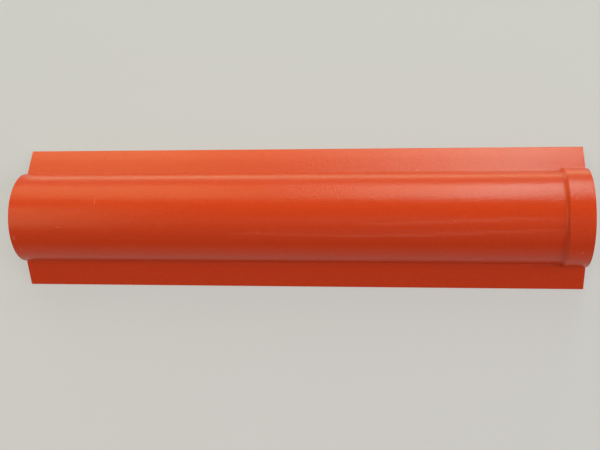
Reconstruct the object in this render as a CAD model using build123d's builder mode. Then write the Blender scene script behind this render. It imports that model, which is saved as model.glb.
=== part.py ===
from build123d import *
from math import atan2, cos, radians, sin, tan
import os

# Half-round ridge tile, made in one piece of tile-red resin.
# A round back covers the ridge, and a flat flange on each side lies on the slope of the roof.
# The back swells to a socket at one end, which laps over the plain end of the next tile.
# Frame: X along the tile with the socket at +X, Y across it, Z up.
# The origin is at mid-length and mid-width, on the floor that the flange edges stand on.

# Driving dimensions in millimetres, angles in degrees
length = 1000.0
wall = 3.0
back_radius = 80.0
flange_width = 50.0
roof_pitch = 27.5
socket_depth = 46.5
socket_clearance = 2.0
step_length = 6.0
foot_bend = 10.0
head_bend = 5.0
root_radius = 2.5
long_edge_round = 0.8
end_edge_round = 0.4
cut_overrun = 5.0
end_margin = 1.0

# Flanges: their outer faces meet the plain back at the height of its axis
pitch = radians(roof_pitch)
corner_settling = long_edge_round * (sin(pitch) + cos(pitch) - 1)
edge_height = wall * cos(pitch) - corner_settling
axis_height = edge_height + flange_width * sin(pitch)
half_width = back_radius + flange_width * cos(pitch)
gable_height = axis_height + back_radius * tan(pitch)

# Socket: its inner skin clears the plain end's outer skin all round
socket_radius = back_radius + socket_clearance + wall
socket_start = length / 2 - socket_depth
step_angle = atan2(socket_radius - back_radius, step_length)
root_reach = (socket_radius - back_radius) * tan(pitch) + wall / cos(pitch) + root_radius

back_axis = Axis((0, 0, axis_height), (1, 0, 0))
back_plane = Plane(origin=(0, 0, axis_height), x_dir=(1, 0, 0), z_dir=(0, -1, 0))


def mass_under_skin(inset, overrun):
    """Closed solid of all that lies under one skin of the tile.

    The outer skin has inset 0 and stops at the ends. The inner skin is inset by the wall
    and runs out past the ends and below the outer one, so that it cuts clean through.
    """
    end = length / 2 + overrun
    plain_skin = back_radius - inset
    socket_skin = socket_radius - inset
    bend_shift = inset * tan(step_angle / 2)
    ridge = gable_height - inset / cos(pitch)
    base = -cut_overrun - overrun
    with BuildPart() as mass:
        # Round back, turned whole about its axis, with the step up to the socket
        with BuildSketch(back_plane):
            with BuildLine():
                FilletPolyline(
                    (-end, -plain_skin),
                    (socket_start + bend_shift, -plain_skin),
                    (socket_start + step_length + bend_shift, -socket_skin),
                    (end, -socket_skin),
                    radius=[foot_bend + inset, head_bend - inset],
                )
                Polyline((-end, -plain_skin), (-end, 0), (end, 0), (end, -socket_skin))
            make_face()
        revolve(axis=back_axis)
        # Gable under the two flange planes
        with BuildSketch(Plane.YZ):
            with BuildLine():
                reach = (ridge - base) / tan(pitch)
                Polyline((0, ridge), (reach, base), (-reach, base), close=True)
            make_face()
        extrude(amount=end, both=True)
        # Hollow roots where the back rises from the flanges
        roots = (
            mass.edges()
            .filter_by_position(Axis.X, end_margin - length / 2, length / 2 - end_margin)
            .filter_by_position(Axis.Z, axis_height - root_reach, axis_height + root_reach)
        )
        fillet(roots, root_radius + inset)
    return mass.part


# The tile is the wall between its two skins, with the flange edges cut square
with BuildPart() as ridge_tile:
    add(mass_under_skin(0, 0))
    add(mass_under_skin(wall, cut_overrun), mode=Mode.SUBTRACT)
    split(bisect_by=Plane.XY.offset(-cut_overrun), keep=Keep.TOP)
    for side in (1, -1):
        outward = (0, side * cos(pitch), -sin(pitch))
        edge_plane = Plane(origin=(0, side * half_width, edge_height), x_dir=(1, 0, 0), z_dir=outward)
        split(bisect_by=edge_plane, keep=Keep.BOTTOM)
    long_edges = ridge_tile.edges().filter_by(Axis.X).filter_by_position(Axis.Z, -wall, wall)
    fillet(long_edges, long_edge_round)
    end_edges = ridge_tile.faces().filter_by(Axis.X).edges()
    fillet(end_edges, end_edge_round)

os.makedirs("parts", exist_ok=True)
ridge_tile.part.label = "ridge_tile"
export_step(ridge_tile.part, "parts/ridge_tile.step")
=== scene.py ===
"""Half-round resin ridge tile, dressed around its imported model, with a plain studio stage.

Everything is in metres in the model's own frame: X along the tile towards the socket,
Y across it, Z up, with the floor at Z = 0.
"""

import math

import bpy
from bpy.props import FloatProperty, FloatVectorProperty, IntProperty, PointerProperty
from mathutils import Matrix, Vector, noise


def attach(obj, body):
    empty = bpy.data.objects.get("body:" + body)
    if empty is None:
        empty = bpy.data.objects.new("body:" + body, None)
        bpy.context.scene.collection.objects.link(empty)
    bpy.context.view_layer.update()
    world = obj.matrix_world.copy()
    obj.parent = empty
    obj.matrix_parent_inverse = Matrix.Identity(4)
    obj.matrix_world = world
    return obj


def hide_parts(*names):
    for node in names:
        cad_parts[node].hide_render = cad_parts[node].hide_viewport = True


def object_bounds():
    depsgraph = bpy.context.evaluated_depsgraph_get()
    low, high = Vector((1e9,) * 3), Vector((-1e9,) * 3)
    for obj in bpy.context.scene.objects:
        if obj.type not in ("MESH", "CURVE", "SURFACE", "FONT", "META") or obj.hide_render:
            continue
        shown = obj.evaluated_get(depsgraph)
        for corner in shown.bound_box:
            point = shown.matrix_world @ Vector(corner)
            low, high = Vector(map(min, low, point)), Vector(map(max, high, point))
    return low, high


bl_info = {
    "name": "Ridge tile",
    "version": (1, 0, 0),
    "blender": (4, 5, 0),
    "location": "View3D > Sidebar > Ridge tile",
    "description": "Dresses a half-round resin ridge tile and sets its studio stage",
    "category": "Add Mesh",
}

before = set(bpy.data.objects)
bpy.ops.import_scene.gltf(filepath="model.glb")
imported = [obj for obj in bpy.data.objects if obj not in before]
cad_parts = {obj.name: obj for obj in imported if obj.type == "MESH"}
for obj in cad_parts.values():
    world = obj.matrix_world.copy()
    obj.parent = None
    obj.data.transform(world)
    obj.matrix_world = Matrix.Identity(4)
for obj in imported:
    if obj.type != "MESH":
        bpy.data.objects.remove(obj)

CAD_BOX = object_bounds()
TILE_NODE = "ridge_tile"
TILE_PIECE = "ridge_tile_body"


# Settings that a user would change

class TileShape(bpy.types.PropertyGroup):
    """Sizes of the moulded wall and how finely it is divided."""

    wall: FloatProperty(
        name="Wall",
        description="Thickness of the resin all over the tile",
        default=0.003,
        unit="LENGTH",
    )
    back_radius: FloatProperty(
        name="Back radius",
        description="Outer radius of the round back along the plain run",
        default=0.080,
        unit="LENGTH",
    )
    flange_width: FloatProperty(
        name="Flange width",
        description="Width of each flat flange, measured down its slope",
        default=0.050,
        unit="LENGTH",
    )
    roof_pitch: FloatProperty(
        name="Roof pitch",
        description="Slope of the flanges below the level",
        default=math.radians(27.5),
        subtype="ANGLE",
    )
    socket_depth: FloatProperty(
        name="Socket depth",
        description="Length of the socket, its step included",
        default=0.0465,
        unit="LENGTH",
    )
    socket_clearance: FloatProperty(
        name="Socket clearance",
        description="Room between the socket and the plain end that slides into it",
        default=0.002,
        unit="LENGTH",
    )
    step_length: FloatProperty(
        name="Step length",
        description="Length over which the back swells to the socket",
        default=0.006,
        unit="LENGTH",
    )
    foot_bend: FloatProperty(
        name="Foot bend",
        description="Outer radius of the hollow bend at the foot of the step",
        default=0.010,
        unit="LENGTH",
    )
    head_bend: FloatProperty(
        name="Head bend",
        description="Outer radius of the round bend at the head of the step",
        default=0.005,
        unit="LENGTH",
    )
    root_radius: FloatProperty(
        name="Root radius",
        description="Outer radius of the hollow corner between back and flange",
        default=0.0025,
        unit="LENGTH",
    )
    long_edge_round: FloatProperty(
        name="Long edge round",
        description="Rounding of the flanges' long edges",
        default=0.0008,
        unit="LENGTH",
    )
    end_edge_round: FloatProperty(
        name="End edge round",
        description="Rounding left on the cut ends",
        default=0.0004,
        unit="LENGTH",
    )
    back_wave: FloatProperty(
        name="Back wave",
        description="Deepest hollow of the back's slight unevenness",
        default=0.00025,
        unit="LENGTH",
    )
    flange_wave: FloatProperty(
        name="Flange wave",
        description="Highest lift of a flange's edge along its slight unevenness",
        default=0.0004,
        unit="LENGTH",
    )
    station_gap: FloatProperty(
        name="Station gap",
        description="Distance between sections along the plain run",
        default=0.008,
        unit="LENGTH",
    )
    back_steps: IntProperty(
        name="Back steps",
        description="Divisions of each half of the round back",
        default=44,
    )
    flange_steps: IntProperty(
        name="Flange steps",
        description="Divisions across each flange",
        default=10,
    )


class ResinFinish(bpy.types.PropertyGroup):
    """Colour and surface of the resin."""

    colour: FloatVectorProperty(
        name="Colour",
        description="Tile red of the resin",
        default=(0.610, 0.0450, 0.0020),
        subtype="COLOR",
        size=3,
    )
    deep_colour: FloatVectorProperty(
        name="Deep colour",
        description="Redder tone that the mottling runs to",
        default=(0.588, 0.0420, 0.0018),
        subtype="COLOR",
        size=3,
    )
    pit_colour: FloatVectorProperty(
        name="Pit colour",
        description="Darker tone in one face of the grain",
        default=(0.580, 0.0400, 0.0017),
        subtype="COLOR",
        size=3,
    )
    # Pale tone of specks, scuffs and cut edges; the same tone paints the reflection streaks of the
    # overhead strip lamps on the crown.
    scuff_and_reflection_colour: FloatVectorProperty(
        name="Scuff and reflection colour",
        description="Pale bloom on specks, scuffs and cut edges",
        default=(0.80, 0.28, 0.16),
        subtype="COLOR",
        size=3,
    )
    roughness: FloatProperty(
        name="Roughness",
        description="Roughness of the outer skin before its grain",
        default=0.21,
    )
    refraction: FloatProperty(
        name="Refraction",
        description="Index of refraction, which sets how strongly the skin mirrors",
        default=1.37,
    )
    grain_size: FloatProperty(
        name="Grain size",
        description="Width of one bump of the fine surface grain",
        default=0.0032,
        unit="LENGTH",
    )
    grain_depth: FloatProperty(
        name="Grain depth",
        description="Height of the surface grain",
        default=0.0006,
        unit="LENGTH",
    )
    line_gap: FloatProperty(
        name="Line gap",
        description="Distance between the faint drawn lines along the tile",
        default=0.004,
        unit="LENGTH",
    )
    line_depth: FloatProperty(
        name="Line depth",
        description="Depth of the drawn lines",
        default=0.000003,
        unit="LENGTH",
    )


class StudioStage(bpy.types.PropertyGroup):
    """Floor, lamps and camera."""

    floor_colour: FloatVectorProperty(
        name="Floor colour",
        description="Pale floor under the tile",
        default=(0.625, 0.612, 0.585),
        subtype="COLOR",
        size=3,
    )
    floor_evenness: FloatProperty(
        name="Floor evenness",
        description="Share of the floor's look that the lamps leave alone",
        default=0.7,
        subtype="FACTOR",
    )
    floor_reach: FloatProperty(
        name="Floor reach",
        description="Distance from the tile to each side of the floor, just short of the end lamp",
        default=5.9,
        unit="LENGTH",
    )
    horizon_colour: FloatVectorProperty(
        name="Horizon colour",
        description="Light all round at eye level",
        default=(0.03, 0.03, 0.03),
        subtype="COLOR",
        size=3,
    )
    overhead_colour: FloatVectorProperty(
        name="Overhead colour",
        description="Light straight above",
        default=(0.40, 0.335, 0.355),
        subtype="COLOR",
        size=3,
    )
    key_brightness: FloatProperty(
        name="Key brightness",
        description="Brightness of the tall soft lamp beside the tile",
        default=3.2,
    )
    bright_brightness: FloatProperty(
        name="Bright pane",
        description="Extra brightness of the key lamp's part nearest the socket",
        default=4.5,
    )
    side_brightness: FloatProperty(
        name="Side brightness",
        description="Brightness of the soft lamp beside the plain end",
        default=1.95,
    )
    end_brightness: FloatProperty(
        name="End brightness",
        description="Brightness of the two soft lamps far beyond the socket",
        default=2.1,
    )
    top_brightness: FloatProperty(
        name="Top brightness",
        description="Brightness of the soft lamp above the plain end",
        default=1.6,
    )
    strip_brightness: FloatProperty(
        name="Strip brightness",
        description="Brightness of the two narrow lamps overhead that streak the crown",
        default=2.6,
    )
    low_brightness: FloatProperty(
        name="Low strip",
        description="Brightness of the low lamp that only streaks the foot of the back",
        default=1.3,
    )
    key_colour: FloatVectorProperty(
        name="Key colour",
        description="Tint of the key lamp",
        default=(0.87, 1.0, 0.76),
        subtype="COLOR",
        size=3,
    )
    bright_colour: FloatVectorProperty(
        name="Bright pane's colour",
        description="Tint of the key lamp's brighter part",
        default=(0.35, 0.95, 1.0),
        subtype="COLOR",
        size=3,
    )
    side_colour: FloatVectorProperty(
        name="Side colour",
        description="Tint of the lamps by the plain end",
        default=(0.92, 1.0, 0.52),
        subtype="COLOR",
        size=3,
    )
    camera_place: FloatVectorProperty(
        name="Camera place",
        description="Where the camera stands",
        default=(0.1838, -0.0327, 1.5576),
        subtype="TRANSLATION",
        size=3,
    )
    camera_aim: FloatVectorProperty(
        name="Camera aim",
        description="Point on the floor that the camera looks at",
        default=(0.0040, -0.0131, 0.0),
        subtype="TRANSLATION",
        size=3,
    )
    camera_roll: FloatProperty(
        name="Camera roll",
        description="Turn of the camera about its line of sight",
        default=math.radians(0.169),
        subtype="ANGLE",
    )
    camera_lens: FloatProperty(
        name="Camera lens",
        description="Focal length in millimetres on a 36 mm wide sensor",
        default=52.03,
    )


# Shape of the tile

# Divisions of the small rounds, and the gap between sections along the socket's step
END_ROUND_STEPS = 3
ROOT_STEPS = 7
CORNER_STEPS = 3
STEP_STATION_GAP = 0.0005

# Material slots of the two skins and of the cut edges
OUTER, INNER, CUT = range(3)

# Rates along and across the tile and a place in the noise, for each slight unevenness
BROAD_WAVES = (7.0, 1.6, 3.1)
FINE_WAVES = (19.0, 4.0, 8.7)
EDGE_WAVES = (4.0, 5.3, 1.7)


class Section:
    """Works out the tile's cross-section at any station along X."""

    def __init__(self, shape, box):
        self.shape = shape
        self.half_length = box[1][0]
        self.down = Vector((math.cos(shape.roof_pitch), -math.sin(shape.roof_pitch)))
        self.out = Vector((math.sin(shape.roof_pitch), math.cos(shape.roof_pitch)))
        settling = shape.long_edge_round * (self.out.x + self.out.y - 1)
        edge_height = shape.wall * self.out.y - settling
        self.axis_height = edge_height + shape.flange_width * self.out.x
        self.half_width = shape.back_radius + shape.flange_width * self.down.x
        self.edge_corner = Vector((self.half_width, edge_height))
        self.socket_radius = shape.back_radius + shape.socket_clearance + shape.wall
        self.socket_start = self.half_length - shape.socket_depth
        self.step_angle = math.atan2(self.socket_radius - shape.back_radius, shape.step_length)

    def skin_radius(self, x, inset):
        """Radius of the back's skin, inset from the outer one, at station x."""
        shape = self.shape
        plain = shape.back_radius - inset
        wide = self.socket_radius - inset
        foot = self.socket_start + inset * math.tan(self.step_angle / 2)
        head = foot + shape.step_length
        foot_bend = shape.foot_bend + inset
        head_bend = shape.head_bend - inset
        foot_run = foot_bend * math.tan(self.step_angle / 2)
        head_run = head_bend * math.tan(self.step_angle / 2)
        if x <= foot - foot_run:
            return plain
        if x < foot + foot_run * math.cos(self.step_angle):
            return plain + foot_bend - math.sqrt(foot_bend**2 - (x - foot + foot_run) ** 2)
        if x <= head - head_run * math.cos(self.step_angle):
            return plain + (x - foot) * math.tan(self.step_angle)
        if x < head + head_run:
            return wide - head_bend + math.sqrt(head_bend**2 - (head + head_run - x) ** 2)
        return wide

    def top_height(self, x, y):
        """Height of the outer skin above the floor at a place on the tile."""
        radius = self.skin_radius(x, 0)
        if abs(y) < radius:
            return self.axis_height + math.sqrt(radius**2 - y**2)
        return self.edge_corner.y + (self.half_width - abs(y)) * math.tan(self.shape.roof_pitch)

    def half_skin(self, x, inset, corner_inset, underside):
        """Points of one skin from the crown to the edge of the +Y flange, as (y, z)."""
        shape = self.shape
        radius = self.skin_radius(x, inset)
        root = shape.root_radius + inset
        axis = Vector((0, self.axis_height))
        plane = (self.edge_corner - inset * self.out - axis).dot(self.out)
        along = math.sqrt((radius + root) ** 2 - (plane + root) ** 2)
        centre = (plane + root) * self.out + along * self.down
        last = math.atan2(centre.x, centre.y)
        points = []
        for i in range(shape.back_steps + 1):
            angle = last * i / shape.back_steps
            points.append(axis + radius * Vector((math.sin(angle), math.cos(angle))))
        start = math.atan2(-centre.y, -centre.x)
        turn = (math.atan2(-self.out.y, -self.out.x) - start) % math.tau
        for i in range(1, ROOT_STEPS + 1):
            angle = start + turn * i / ROOT_STEPS
            points.append(axis + centre + root * Vector((math.cos(angle), math.sin(angle))))
        rounding = shape.long_edge_round
        face = -1 if underside else 1
        corner = self.edge_corner - rounding * self.down - face * rounding * self.out
        if underside:
            corner = corner - shape.wall * self.out
        arc = rounding - corner_inset
        begin = points[-1]
        end = corner + face * arc * self.out
        for i in range(1, shape.flange_steps + 1):
            points.append(begin.lerp(end, i / shape.flange_steps))
        for i in range(1, CORNER_STEPS + 1):
            angle = math.pi / 2 * i / CORNER_STEPS
            points.append(corner + arc * (face * math.cos(angle) * self.out + math.sin(angle) * self.down))
        return points

    def stations(self):
        """(x, rounding inset) of every section, from the plain end to the socket's mouth."""
        shape = self.shape
        rounding = shape.end_edge_round
        end = self.half_length
        ends = []
        for i in range(END_ROUND_STEPS + 1):
            angle = math.pi / 2 * i / END_ROUND_STEPS
            ends.append((end - rounding * (1 - math.cos(angle)), rounding * (1 - math.sin(angle))))
        step_from = self.socket_start - shape.foot_bend / 2
        step_to = self.socket_start + shape.step_length + shape.foot_bend
        plain = spread(-end + rounding, step_from, shape.station_gap)
        step = spread(step_from, step_to, STEP_STATION_GAP)
        socket = spread(step_to, end - rounding, shape.station_gap / 2)
        inner = [(x, 0.0) for x in plain[1:] + step[1:] + socket[1:-1]]
        return [(-x, inset) for x, inset in ends] + inner + ends[::-1]


def spread(start, stop, gap):
    """Evenly spaced values from start to stop, about gap apart."""
    count = max(1, round((stop - start) / gap))
    return [start + (stop - start) * i / count for i in range(count + 1)]


def wave(waves, x, across):
    """Smooth noise at a place on the tile, from about -1 to 1."""
    along_rate, across_rate, place = waves
    return noise.noise(Vector((x * along_rate, across * across_rate, place)))


def clamped(value):
    """Value held between 0 and 1."""
    return min(1, max(0, value))


def unevenness(section, x, y, z):
    """Small shift of the wall at a point: the back sinks, most at its crown, and the flanges lift."""
    shape = section.shape
    if z > section.axis_height:
        angle = math.atan2(y, z - section.axis_height)
        swell = wave(BROAD_WAVES, x, angle) + 0.5 * wave(FINE_WAVES, x, angle)
        depth = shape.back_wave * clamped(0.5 + 0.45 * swell) * math.cos(angle) ** 0.5
        return Vector((0, -depth * math.sin(angle), -depth * math.cos(angle)))
    lift = clamped(0.5 + 0.5 * wave(EDGE_WAVES, x, math.copysign(1, y)))
    reach = clamped((abs(y) - shape.back_radius) / (section.half_width - shape.back_radius))
    return Vector((0, 0, shape.flange_wave * lift * reach))


def ring_points(section, x, rounding):
    """Points right round the wall at station x, as (y, z): the outer skin, then the inner one."""
    outer = section.half_skin(x, rounding, rounding, False)
    inner = section.half_skin(x, section.shape.wall - rounding, rounding, True)
    outer_skin = [(-p.x, p.y) for p in outer[:0:-1]] + [(p.x, p.y) for p in outer]
    inner_skin = [(p.x, p.y) for p in inner[::-1]] + [(-p.x, p.y) for p in inner[1:]]
    return outer_skin + inner_skin


def build_tile_mesh(section, box):
    """Mesh of the whole moulded wall: outer skin, inner skin and cut edges, with a slot each."""
    vertices = []
    stations = section.stations()
    for x, rounding in stations:
        for y, z in ring_points(section, x, rounding):
            point = Vector((x, y, z)) + unevenness(section, x, y, z)
            vertices.append([min(max(p, low), high) for p, low, high in zip(point, *box)])
    ring = len(vertices) // len(stations)
    skin = ring // 2
    last = len(stations) - 1
    faces = []
    slots = []
    for i in range(last):
        rounded_end = i < END_ROUND_STEPS or i >= last - END_ROUND_STEPS
        for j in range(ring):
            k = (j + 1) % ring
            faces.append((i * ring + j, i * ring + k, (i + 1) * ring + k, (i + 1) * ring + j))
            on_edge = min((j + 1) % skin, skin - 1 - j % skin) <= CORNER_STEPS
            skin_slot = OUTER if j < skin else INNER
            slots.append(CUT if on_edge or rounded_end else skin_slot)
    for i, flip in ((0, True), (last, False)):
        for j in range(skin - 1):
            quad = [i * ring + j, i * ring + j + 1, i * ring + ring - 2 - j, i * ring + ring - 1 - j]
            faces.append(tuple(quad if flip else quad[::-1]))
            slots.append(CUT)
    mesh = bpy.data.meshes.new(TILE_PIECE)
    mesh.from_pydata(vertices, [], faces)
    mesh.polygons.foreach_set("material_index", slots)
    mesh.polygons.foreach_set("use_smooth", [True] * len(faces))
    mesh.update()
    return mesh


# Wear on the outer skin, and the painted reflection streaks on its crown

# Place (x, y), reach and strength of each small scuff
SCUFFS = (
    ((-0.3441, 0.0251), (0.0013, 0.0090, 0.0090), 0.28),
    ((-0.2491, 0.0076), (0.0022, 0.0014, 0.0030), 0.22),
    ((-0.4102, -0.0195), (0.0034, 0.0016, 0.0030), 0.16),
    ((-0.4930, -0.0378), (0.0040, 0.0060, 0.0060), 0.22),
    ((-0.4872, -0.0583), (0.0034, 0.0050, 0.0060), 0.16),
    ((-0.1524, -0.0027), (0.0022, 0.0012, 0.0030), 0.18),
    ((-0.0563, -0.0280), (0.0050, 0.0045, 0.0050), 0.10),
    ((0.1637, -0.0325), (0.0022, 0.0014, 0.0030), 0.16),
    ((0.4829, -0.0595), (0.0020, 0.0022, 0.0030), 0.25),
    ((0.2131, 0.0835), (0.0030, 0.0014, 0.0020), 0.25),
)

# Reach of every patch of the two long pale streaks, which paint the reflection of the two overhead strip
# lamps on the crown, then each patch's place (x, y) and strength
REFLECTION_PATCH_REACH = (0.085, 0.0038, 0.0100)
NEAR_REFLECTION_PATCHES = (
    ((-0.062, -0.0291), 0.05),
    ((0.024, -0.0312), 0.06),
    ((0.109, -0.0323), 0.09),
    ((0.192, -0.0314), 0.10),
    ((0.274, -0.0287), 0.07),
    ((0.355, -0.0250), 0.06),
    ((0.419, -0.0226), 0.05),
)
CROWN_REFLECTION_PATCHES = (
    ((0.159, -0.0122), 0.05),
    ((0.233, -0.0097), 0.06),
    ((0.306, -0.0070), 0.06),
    ((0.379, -0.0034), 0.05),
)


def wear_and_reflection_patches(section):
    """Centre, reach and strength of each scuffed spot and of each patch of the painted reflection streaks.
    """
    painted_streaks = [(place, REFLECTION_PATCH_REACH, strength) for place, strength in NEAR_REFLECTION_PATCHES + CROWN_REFLECTION_PATCHES]
    scuff_and_reflection_patches = []
    for (x, y), reach, strength in [*SCUFFS, *painted_streaks]:
        scuff_and_reflection_patches.append(((x, y, section.top_height(x, y)), reach, strength))
    return scuff_and_reflection_patches


# Shader node groups that the resin's materials share

def new_group(name, inputs, outputs):
    """Empty shader node group with named sockets: (tree, input node, output node)."""
    tree = bpy.data.node_groups.new(name, "ShaderNodeTree")
    for label, kind in inputs:
        tree.interface.new_socket(name=label, in_out="INPUT", socket_type=kind)
    for label, kind in outputs:
        tree.interface.new_socket(name=label, in_out="OUTPUT", socket_type=kind)
    return tree, tree.nodes.new("NodeGroupInput"), tree.nodes.new("NodeGroupOutput")


def math_node(tree, operation, first, second=None, clamp=False):
    """Math node whose inputs are sockets or numbers; returns its output."""
    node = tree.nodes.new("ShaderNodeMath")
    node.operation = operation
    node.use_clamp = clamp
    for slot, value in enumerate((first, second)):
        if isinstance(value, (int, float)):
            node.inputs[slot].default_value = value
        elif value is not None:
            tree.links.new(value, node.inputs[slot])
    return node.outputs[0]


def ramp_value(tree, value, low, high):
    """Value remapped smoothly to 0 below low and 1 above high."""
    node = tree.nodes.new("ShaderNodeMapRange")
    node.interpolation_type = "SMOOTHSTEP"
    node.inputs["From Min"].default_value = low
    node.inputs["From Max"].default_value = high
    tree.links.new(value, node.inputs["Value"])
    return node.outputs["Result"]


def noise_value(tree, vector, scale, detail, roughness=0.5):
    """Noise texture's value at a scale that is a socket or a number."""
    node = tree.nodes.new("ShaderNodeTexNoise")
    node.inputs["Detail"].default_value = detail
    node.inputs["Roughness"].default_value = roughness
    if isinstance(scale, (int, float)):
        node.inputs["Scale"].default_value = scale
    else:
        tree.links.new(scale, node.inputs["Scale"])
    tree.links.new(vector, node.inputs["Vector"])
    return node.outputs["Fac"]


def vector_node(tree, operation, first, second=None):
    """Vector maths node whose second input is a socket or numbers; returns its output."""
    node = tree.nodes.new("ShaderNodeVectorMath")
    node.operation = operation
    tree.links.new(first, node.inputs[0])
    if isinstance(second, bpy.types.NodeSocket):
        tree.links.new(second, node.inputs[1])
    elif second is not None:
        node.inputs[1].default_value = second
    return node.outputs[0]


def make_grain_group():
    """Fine pebbled grain of a moulded skin, as a height from 0 to 1."""
    coarse_rate = 0.27
    coarse_share = 0.4
    tree, given, made = new_group(
        "moulded_grain",
        [("Vector", "NodeSocketVector"), ("Size", "NodeSocketFloat")],
        [("Height", "NodeSocketFloat")],
    )
    scale = math_node(tree, "DIVIDE", 1.0, given.outputs["Size"])
    pebbles = noise_value(tree, given.outputs["Vector"], scale, detail=1.5, roughness=0.6)
    coarse_scale = math_node(tree, "MULTIPLY", scale, coarse_rate)
    coarse = noise_value(tree, given.outputs["Vector"], coarse_scale, detail=1.0)
    total = math_node(tree, "ADD", pebbles, math_node(tree, "MULTIPLY", coarse, coarse_share))
    tree.links.new(math_node(tree, "DIVIDE", total, 1 + coarse_share), made.inputs["Height"])
    return tree


def make_lines_group():
    """Faint lines drawn along X, as a height and as a tone."""
    stretch = 0.004
    broad_rate = 0.2
    tree, given, made = new_group(
        "drawn_lines",
        [("Vector", "NodeSocketVector"), ("Gap", "NodeSocketFloat")],
        [("Height", "NodeSocketFloat"), ("Tone", "NodeSocketFloat")],
    )
    along = vector_node(tree, "MULTIPLY", given.outputs["Vector"], (stretch, 1.0, 1.0))
    scale = math_node(tree, "DIVIDE", 1.0, given.outputs["Gap"])
    fine = noise_value(tree, along, scale, detail=2.0)
    broad = noise_value(tree, along, math_node(tree, "MULTIPLY", scale, broad_rate), detail=1.0)
    both = math_node(tree, "ADD", fine, broad)
    tree.links.new(fine, made.inputs["Height"])
    tree.links.new(ramp_value(tree, both, low=0.7, high=1.3), made.inputs["Tone"])
    return tree


def make_specks_group():
    """Small pale specks scattered at random, as a mask."""
    tree, given, made = new_group(
        "pale_specks",
        [("Vector", "NodeSocketVector"), ("Spacing", "NodeSocketFloat"), ("Size", "NodeSocketFloat")],
        [("Mask", "NodeSocketFloat")],
    )
    scale = math_node(tree, "DIVIDE", 1.0, given.outputs["Spacing"])
    cells = tree.nodes.new("ShaderNodeTexVoronoi")
    tree.links.new(scale, cells.inputs["Scale"])
    tree.links.new(given.outputs["Vector"], cells.inputs["Vector"])
    size = math_node(tree, "MULTIPLY", scale, given.outputs["Size"])
    distance = math_node(tree, "DIVIDE", cells.outputs["Distance"], size)
    picked = tree.nodes.new("ShaderNodeSeparateColor")
    tree.links.new(cells.outputs["Color"], picked.inputs[0])
    chosen = ramp_value(tree, picked.outputs[0], low=0.72, high=0.80)
    close = math_node(tree, "SUBTRACT", 1.0, distance, clamp=True)
    spot = ramp_value(tree, close, low=0.0, high=0.7)
    tree.links.new(math_node(tree, "MULTIPLY", spot, chosen), made.inputs["Mask"])
    return tree


def make_scuff_and_reflection_group():
    """Ragged mask around a centre, for each scuffed spot and for each patch of a painted reflection
    streak.
    """
    tree, given, made = new_group(
        "scuff_and_reflection",
        [
            ("Vector", "NodeSocketVector"),
            ("Centre", "NodeSocketVector"),
            ("Reach", "NodeSocketVector"),
            ("Strength", "NodeSocketFloat"),
        ],
        [("Mask", "NodeSocketFloat")],
    )
    offset = vector_node(tree, "SUBTRACT", given.outputs["Vector"], given.outputs["Centre"])
    scaled = vector_node(tree, "DIVIDE", offset, given.outputs["Reach"])
    distance = vector_node(tree, "LENGTH", scaled).node.outputs["Value"]
    ragged = noise_value(tree, scaled, scale=1.7, detail=2.0)
    edge = math_node(tree, "ADD", distance, math_node(tree, "SUBTRACT", ragged, 0.5))
    mask = ramp_value(tree, math_node(tree, "SUBTRACT", 1.0, edge), low=0.0, high=0.8)
    tree.links.new(math_node(tree, "MULTIPLY", mask, given.outputs["Strength"]), made.inputs["Mask"])
    return tree


def make_cloud_group():
    """Broad soft mottling of the resin's tone, as a mask."""
    stretch = 0.4
    tree, given, made = new_group(
        "resin_clouds",
        [("Vector", "NodeSocketVector"), ("Size", "NodeSocketFloat")],
        [("Mask", "NodeSocketFloat")],
    )
    scale = math_node(tree, "DIVIDE", 1.0, given.outputs["Size"])
    along = vector_node(tree, "MULTIPLY", given.outputs["Vector"], (stretch, 1.0, 1.0))
    cloud = noise_value(tree, along, scale, detail=3.0, roughness=0.55)
    tree.links.new(ramp_value(tree, cloud, low=0.3, high=0.7), made.inputs["Mask"])
    return tree


# Materials of the resin

def place_group(material, tree, **values):
    """Puts a shared group into a material, fed by object coordinates; returns the node."""
    nodes = material.node_tree.nodes
    node = nodes.new("ShaderNodeGroup")
    node.node_tree = tree
    place = nodes.get("Texture Coordinate") or nodes.new("ShaderNodeTexCoord")
    material.node_tree.links.new(place.outputs["Object"], node.inputs["Vector"])
    for label, value in values.items():
        node.inputs[label].default_value = value
    return node


def mix_colours(tree, mask, first, second):
    """Colour mixed from first to second by a mask; each is a colour or a socket."""
    node = tree.nodes.new("ShaderNodeMix")
    node.data_type = "RGBA"
    tree.links.new(mask, node.inputs["Factor"])
    for label, value in (("A", first), ("B", second)):
        slot = [socket for socket in node.inputs if socket.name == label and socket.type == "RGBA"][0]
        if isinstance(value, bpy.types.NodeSocket):
            tree.links.new(value, slot)
        else:
            slot.default_value = (*value, 1.0)
    return [socket for socket in node.outputs if socket.type == "RGBA"][0]


def bump(tree, height, distance, normal=None):
    """Bump node on top of an earlier normal; returns its normal."""
    node = tree.nodes.new("ShaderNodeBump")
    node.inputs["Distance"].default_value = distance
    tree.links.new(height, node.inputs["Height"])
    if normal is not None:
        tree.links.new(normal, node.inputs["Normal"])
    return node.outputs["Normal"]


def new_material(name, refraction=1.5):
    """Material with node tree and its Principled shader: (material, shader)."""
    material = bpy.data.materials.new(name)
    material.use_nodes = True
    shader = material.node_tree.nodes["Principled BSDF"]
    shader.inputs["IOR"].default_value = refraction
    return material, shader


def varied_roughness(tree, mask, swing, level):
    """Roughness that rises from a level by a swing where the mask is 1."""
    rough = math_node(tree, "MULTIPLY_ADD", mask, swing)
    rough.node.inputs[2].default_value = level
    return rough


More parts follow.
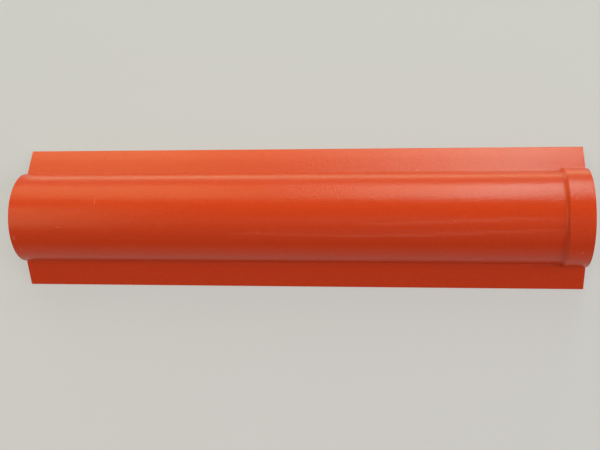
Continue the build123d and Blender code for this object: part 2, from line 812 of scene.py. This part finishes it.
def outer_skin_material(finish, groups, scuff_and_reflection_patches):
    """Semi-gloss outer skin: mottled tile red with grain, drawn lines, specks, scuffs and painted
    reflection streaks.
    """
    speck_strength = 0.4
    line_swing = 0.02
    material, shader = new_material("resin_outer_skin", finish.refraction)
    tree = material.node_tree
    clouds = place_group(material, groups["clouds"], Size=0.09)
    lines = place_group(material, groups["lines"], Gap=finish.line_gap)
    grain = place_group(material, groups["grain"], Size=finish.grain_size)
    specks = place_group(material, groups["specks"], Spacing=0.035, Size=0.0016)
    base = mix_colours(tree, clouds.outputs["Mask"], finish.colour, finish.deep_colour)
    pits = ramp_value(tree, grain.outputs["Height"], low=0.35, high=0.65)
    base = mix_colours(tree, pits, base, finish.pit_colour)
    # Pale specks and scuffs are wear; the streak patches mixed in here paint the reflection of the
    # overhead strip lamps on the crown.
    worn_and_reflection = math_node(tree, "MULTIPLY", specks.outputs["Mask"], speck_strength)
    for centre, reach, strength in scuff_and_reflection_patches:
        scuff_and_reflection = place_group(material, groups["scuff_and_reflection"], Centre=centre, Reach=reach, Strength=strength)
        worn_and_reflection = math_node(tree, "MAXIMUM", worn_and_reflection, scuff_and_reflection.outputs["Mask"])
    tree.links.new(mix_colours(tree, worn_and_reflection, base, finish.scuff_and_reflection_colour), shader.inputs["Base Color"])
    rough = varied_roughness(tree, clouds.outputs["Mask"], swing=0.05, level=finish.roughness)
    rough = math_node(tree, "ADD", rough, math_node(tree, "MULTIPLY", lines.outputs["Tone"], line_swing))
    tree.links.new(rough, shader.inputs["Roughness"])
    normal = bump(tree, lines.outputs["Height"], finish.line_depth)
    normal = bump(tree, grain.outputs["Height"], finish.grain_depth, normal)
    tree.links.new(normal, shader.inputs["Normal"])
    return material


def inner_skin_material(finish, groups):
    """Plainer, duller underside with a coarser and deeper grain."""
    coarser = 1.5
    deeper_lines = 2
    deeper_grain = 1.4
    duller = 0.18
    material, shader = new_material("resin_inner_skin", finish.refraction)
    tree = material.node_tree
    clouds = place_group(material, groups["clouds"], Size=0.12)
    lines = place_group(material, groups["lines"], Gap=finish.line_gap * coarser)
    grain = place_group(material, groups["grain"], Size=finish.grain_size * coarser)
    base = mix_colours(tree, clouds.outputs["Mask"], finish.colour, finish.deep_colour)
    tree.links.new(base, shader.inputs["Base Color"])
    rough = varied_roughness(tree, clouds.outputs["Mask"], swing=0.08, level=finish.roughness + duller)
    tree.links.new(rough, shader.inputs["Roughness"])
    normal = bump(tree, lines.outputs["Height"], finish.line_depth * deeper_lines)
    normal = bump(tree, grain.outputs["Height"], finish.grain_depth * deeper_grain, normal)
    tree.links.new(normal, shader.inputs["Normal"])
    return material


def cut_edge_material(finish, groups):
    """Sawn and trimmed edges: duller, a little bloomed and finely grained."""
    finer = 0.4
    duller = 0.2
    bloom_strength = 0.22
    material, shader = new_material("resin_cut_edge", finish.refraction)
    tree = material.node_tree
    clouds = place_group(material, groups["clouds"], Size=0.02)
    grain = place_group(material, groups["grain"], Size=finish.grain_size * finer)
    bloom = math_node(tree, "MULTIPLY", clouds.outputs["Mask"], bloom_strength)
    base = mix_colours(tree, bloom, finish.colour, finish.scuff_and_reflection_colour)
    tree.links.new(base, shader.inputs["Base Color"])
    rough = varied_roughness(tree, clouds.outputs["Mask"], swing=0.1, level=finish.roughness + duller)
    tree.links.new(rough, shader.inputs["Roughness"])
    tree.links.new(bump(tree, grain.outputs["Height"], finish.grain_depth), shader.inputs["Normal"])
    return material


# Stage

# The row of tall lamps beside the tile, and the lamps overhead
ROW_DISTANCE = 3.0
ROW_FOOT = 0.1
ROW_HEAD = 2.9
OVERHEAD = 3.0
STRIP_WIDTH = 0.14

# Watts that make a square metre of lamp look as bright as 1
LAMP_POWER = 4

# Width of the camera's sensor in millimetres, and how far it sees in metres
SENSOR_WIDTH = 36.0
FARTHEST_SEEN = 100.0


def soft_lamp(name, low, high, brightness, colour=(1.0, 1.0, 1.0), gloss_only=False):
    """Rectangular soft lamp between two corners that faces the tile; brightness is how bright it looks."""
    low = Vector(low)
    high = Vector(high)
    middle = (low + high) / 2
    diagonal = high - low
    upright = diagonal.z > 0
    across = Vector((diagonal.x, diagonal.y if upright else 0, 0))
    onward = diagonal - across
    back = across.cross(onward).normalized()
    if back.dot(middle) < 0:
        back.negate()
    data = bpy.data.lights.new(name, "AREA")
    data.shape = "RECTANGLE"
    data.size = across.length
    data.size_y = onward.length
    data.energy = LAMP_POWER * brightness * data.size * data.size_y
    data.color = colour
    turn = Matrix((across.normalized(), back.cross(across.normalized()), back)).transposed()
    lamp = bpy.data.objects.new(name, data)
    lamp.matrix_world = Matrix.Translation(middle) @ turn.to_4x4()
    lamp.visible_camera = False
    lamp.visible_diffuse = not gloss_only
    bpy.context.scene.collection.objects.link(lamp)


def row_lamp(name, start, stop, distance, brightness, colour):
    """Tall lamp in the row beside the tile, from one X to another."""
    soft_lamp(name, (start, distance, ROW_FOOT), (stop, distance, ROW_HEAD), brightness, colour)


def strip_lamp(name, y, brightness):
    """Narrow lamp overhead that runs along the tile."""
    half = STRIP_WIDTH / 2
    soft_lamp(name, (-0.5, y - half, OVERHEAD), (1.1, y + half, OVERHEAD), brightness)


def make_lamps(stage):
    """Soft lamps beside the tile, beyond its socket and overhead, and a low one at its foot."""
    tint = stage.side_colour
    row_lamp("key_lamp", -0.25, 1.3, ROW_DISTANCE, stage.key_brightness, stage.key_colour)
    row_lamp("bright_lamp", 0.65, 1.2, ROW_DISTANCE - 0.05, stage.bright_brightness, stage.bright_colour)
    row_lamp("side_lamp", -2.5, -0.6, ROW_DISTANCE, stage.side_brightness, tint)
    soft_lamp("end_lamp", (6.0, -2.5, 0.2), (6.0, 2.5, 4.7), stage.end_brightness)
    soft_lamp("high_lamp", (5.0, -2.0, 3.0), (5.0, 2.0, 6.0), stage.end_brightness)
    soft_lamp("top_lamp", (-3.2, -1.5, OVERHEAD), (-1.5, 1.5, OVERHEAD), stage.top_brightness, tint)
    low, high = (-0.52, 0.14, 0.002), (0.52, 0.14, 0.03)
    soft_lamp("low_strip", low, high, stage.low_brightness, tint, gloss_only=True)
    strip_lamp("near_strip", -0.42, stage.strip_brightness)
    strip_lamp("far_strip", -2.3, stage.strip_brightness)


def seen_rays(tree):
    """1 for camera, mirrored and transmitted rays, and 0 for rays that carry light to a surface."""
    rays = tree.nodes.new("ShaderNodeLightPath")
    seen = math_node(tree, "MAXIMUM", rays.outputs["Is Camera Ray"], rays.outputs["Is Glossy Ray"])
    return math_node(tree, "MAXIMUM", seen, rays.outputs["Is Transmission Ray"])


def floor_material(colour, evenness):
    """Plain pale floor, evened out where it is seen or mirrored; it keeps part of its shadows."""
    darkest = 0.97
    material, shader = new_material("pale_floor")
    tree = material.node_tree
    coordinates = tree.nodes.new("ShaderNodeTexCoord")
    cloud = noise_value(tree, coordinates.outputs["Object"], scale=1.3, detail=2.0)
    tone = mix_colours(tree, cloud, colour, [part * darkest for part in colour])
    tree.links.new(tone, shader.inputs["Base Color"])
    shader.inputs["Roughness"].default_value = 0.85
    shader.inputs["Specular IOR Level"].default_value = 0.2
    seen = seen_rays(tree)
    glow = tree.nodes.new("ShaderNodeEmission")
    tree.links.new(tone, glow.inputs["Color"])
    mixed = tree.nodes.new("ShaderNodeMixShader")
    tree.links.new(math_node(tree, "MULTIPLY", seen, evenness), mixed.inputs["Fac"])
    tree.links.new(shader.outputs["BSDF"], mixed.inputs[1])
    tree.links.new(glow.outputs["Emission"], mixed.inputs[2])
    tree.links.new(mixed.outputs["Shader"], tree.nodes["Material Output"].inputs["Surface"])
    return material


def make_floor(colour, evenness, half_side):
    """Square floor at Z = 0 around the tile."""
    mesh = bpy.data.meshes.new("floor")
    corners = [(x * half_side, y * half_side, 0) for x, y in ((-1, -1), (1, -1), (1, 1), (-1, 1))]
    mesh.from_pydata(corners, [], [(0, 1, 2, 3)])
    mesh.materials.append(floor_material(colour, evenness))
    floor = bpy.data.objects.new("floor", mesh)
    bpy.context.scene.collection.objects.link(floor)


def make_world(horizon, overhead, backdrop):
    """World light that comes from overhead, with a pale backdrop seen beyond the floor."""
    world = bpy.data.worlds.new("studio_light")
    world.use_nodes = True
    tree = world.node_tree
    background = tree.nodes["Background"]
    direction = tree.nodes.new("ShaderNodeTexCoord")
    parts = tree.nodes.new("ShaderNodeSeparateXYZ")
    tree.links.new(direction.outputs["Generated"], parts.inputs[0])
    height = ramp_value(tree, parts.outputs["Z"], low=0.0, high=0.6)
    light = mix_colours(tree, height, horizon, overhead)
    above = ramp_value(tree, parts.outputs["Z"], low=0.1, high=0.22)
    near_horizon = math_node(tree, "SUBTRACT", 1.0, above)
    pale = math_node(tree, "MULTIPLY", near_horizon, seen_rays(tree))
    tree.links.new(mix_colours(tree, pale, light, backdrop), background.inputs["Color"])
    bpy.context.scene.world = world


def make_camera(stage):
    """Camera that looks down on the tile."""
    data = bpy.data.cameras.new("camera")
    data.sensor_width = SENSOR_WIDTH
    data.lens = stage.camera_lens
    data.clip_end = FARTHEST_SEEN
    camera = bpy.data.objects.new("camera", data)
    place = Vector(stage.camera_place)
    back = (place - Vector(stage.camera_aim)).normalized()
    right = Vector((0, 1, 0)).cross(back).normalized()
    up = back.cross(right)
    turn = Matrix((right, up, back)).transposed().to_4x4() @ Matrix.Rotation(stage.camera_roll, 4, "Z")
    camera.matrix_world = Matrix.Translation(place) @ turn
    bpy.context.scene.collection.objects.link(camera)
    bpy.context.scene.camera = camera


# Operators

class RIDGETILE_OT_make_body(bpy.types.Operator):
    """Build the moulded wall of the tile and give it its resin"""

    bl_idname = "ridge_tile.make_body"
    bl_label = "Make the tile"

    def execute(self, context):
        finish = context.scene.ridge_tile_finish
        section = Section(context.scene.ridge_tile_shape, CAD_BOX)
        mesh = build_tile_mesh(section, CAD_BOX)
        groups = {
            "grain": make_grain_group(),
            "lines": make_lines_group(),
            "specks": make_specks_group(),
            "scuff_and_reflection": make_scuff_and_reflection_group(),
            "clouds": make_cloud_group(),
        }
        mesh.materials.append(outer_skin_material(finish, groups, wear_and_reflection_patches(section)))
        mesh.materials.append(inner_skin_material(finish, groups))
        mesh.materials.append(cut_edge_material(finish, groups))
        tile = bpy.data.objects.new(TILE_PIECE, mesh)
        context.scene.collection.objects.link(tile)
        normals = tile.modifiers.new("face weighted normals", "WEIGHTED_NORMAL")
        normals.keep_sharp = True
        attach(tile, "root")
        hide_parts(TILE_NODE)
        return {"FINISHED"}


class RIDGETILE_OT_make_stage(bpy.types.Operator):
    """Lay the floor and place the lamps and the camera"""

    bl_idname = "ridge_tile.make_stage"
    bl_label = "Make the stage"

    def execute(self, context):
        stage = context.scene.ridge_tile_stage
        make_floor(stage.floor_colour, stage.floor_evenness, stage.floor_reach)
        make_world(stage.horizon_colour, stage.overhead_colour, stage.floor_colour)
        make_lamps(stage)
        make_camera(stage)
        context.scene.view_settings.view_transform = "Standard"
        return {"FINISHED"}


class RIDGETILE_PT_panel(bpy.types.Panel):
    """Sizes, finish and stage of the ridge tile"""

    bl_idname = "RIDGETILE_PT_panel"
    bl_label = "Ridge tile"
    bl_space_type = "VIEW_3D"
    bl_region_type = "UI"
    bl_category = "Ridge tile"

    def draw(self, context):
        scene = context.scene
        for title, settings, operator in (
            ("Shape", scene.ridge_tile_shape, None),
            ("Finish", scene.ridge_tile_finish, RIDGETILE_OT_make_body),
            ("Stage", scene.ridge_tile_stage, RIDGETILE_OT_make_stage),
        ):
            box = self.layout.box()
            box.label(text=title)
            for name in settings.bl_rna.properties.keys():
                if name not in ("rna_type", "name"):
                    box.prop(settings, name)
            if operator:
                box.operator(operator.bl_idname)


SETTINGS = (
    ("ridge_tile_shape", TileShape),
    ("ridge_tile_finish", ResinFinish),
    ("ridge_tile_stage", StudioStage),
)
OPERATORS = (RIDGETILE_OT_make_body, RIDGETILE_OT_make_stage)


def register():
    for name, kind in SETTINGS:
        bpy.utils.register_class(kind)
        setattr(bpy.types.Scene, name, PointerProperty(type=kind))
    for kind in OPERATORS + (RIDGETILE_PT_panel,):
        bpy.utils.register_class(kind)


def unregister():
    for kind in (RIDGETILE_PT_panel,) + OPERATORS[::-1]:
        bpy.utils.unregister_class(kind)
    for name, kind in SETTINGS[::-1]:
        delattr(bpy.types.Scene, name)
        bpy.utils.unregister_class(kind)


def main():
    """Builds the dressed tile and its stage."""
    register()
    bpy.ops.ridge_tile.make_body()
    bpy.ops.ridge_tile.make_stage()


if __name__ == "__main__":
    main()
